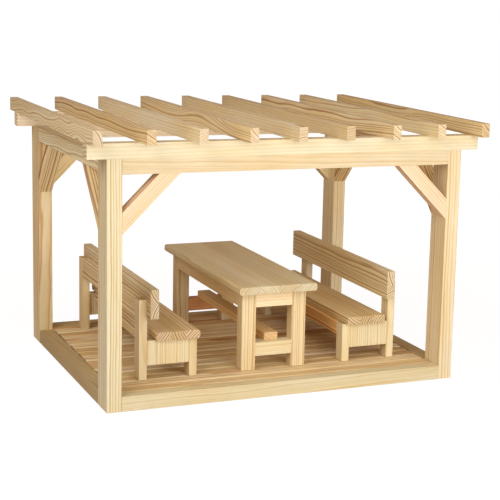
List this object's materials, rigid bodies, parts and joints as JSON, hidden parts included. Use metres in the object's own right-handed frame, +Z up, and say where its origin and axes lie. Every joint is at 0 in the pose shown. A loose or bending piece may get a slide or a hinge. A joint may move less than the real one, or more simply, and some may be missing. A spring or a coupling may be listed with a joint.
{
  "type": "pergola scale model",
  "caption": "Wooden scale model of a garden pergola: braced posts and plates carry open rafters over a slatted deck with a table and benches.",
  "frame": {"origin": "on the ground under the middle of the roof", "axes": "+X to the right along the front plate, +Y from front to back along the rafters, +Z up; the open front faces -Y"},
  "size_m": [0.421, 0.354, 0.2775],
  "materials": {
    "pine_frame": "planed clear pine, unfinished, for posts, sills, rails, plates and braces",
    "pine_rafters": "planed clear pine, unfinished, for the rafters",
    "pine_deck": "planed pine boards, slightly deeper in colour",
    "pine_furniture": "sanded clear pine, glued boards with eased edges"
  },
  "bodies": {
    "root": {"post_front_left": "pine_frame", "post_front_right": "pine_frame", "post_back_left": "pine_frame", "post_back_right": "pine_frame", "sill_front": "pine_frame", "sill_back": "pine_frame", "sill_left": "pine_frame", "sill_right": "pine_frame", "deck_boards": "pine_deck", "deck_bearers": "pine_deck", "rail_front": "pine_frame", "rail_back": "pine_frame", "rail_left": "pine_frame", "rail_right": "pine_frame", "plate_front": "pine_frame", "plate_back": "pine_frame", "braces_front": "pine_frame", "braces_back": "pine_frame", "braces_left": "pine_frame", "braces_right": "pine_frame", "rafter_1": "pine_rafters", "rafter_2": "pine_rafters", "rafter_3": "pine_rafters", "rafter_4": "pine_rafters", "rafter_5": "pine_rafters", "rafter_6": "pine_rafters", "rafter_7": "pine_rafters", "rafter_8": "pine_rafters", "rafter_9": "pine_rafters", "table_top": "pine_furniture", "table_legs": "pine_furniture", "table_aprons": "pine_furniture", "table_low_rails": "pine_furniture", "table_stretcher": "pine_furniture", "left_bench_seat": "pine_furniture", "left_bench_backrest": "pine_furniture", "left_bench_legs": "pine_furniture", "left_bench_panels": "pine_furniture", "left_bench_rails": "pine_furniture", "right_bench_seat": "pine_furniture", "right_bench_backrest": "pine_furniture", "right_bench_legs": "pine_furniture", "right_bench_panels": "pine_furniture", "right_bench_rails": "pine_furniture"}
  },
  "joints": []
}
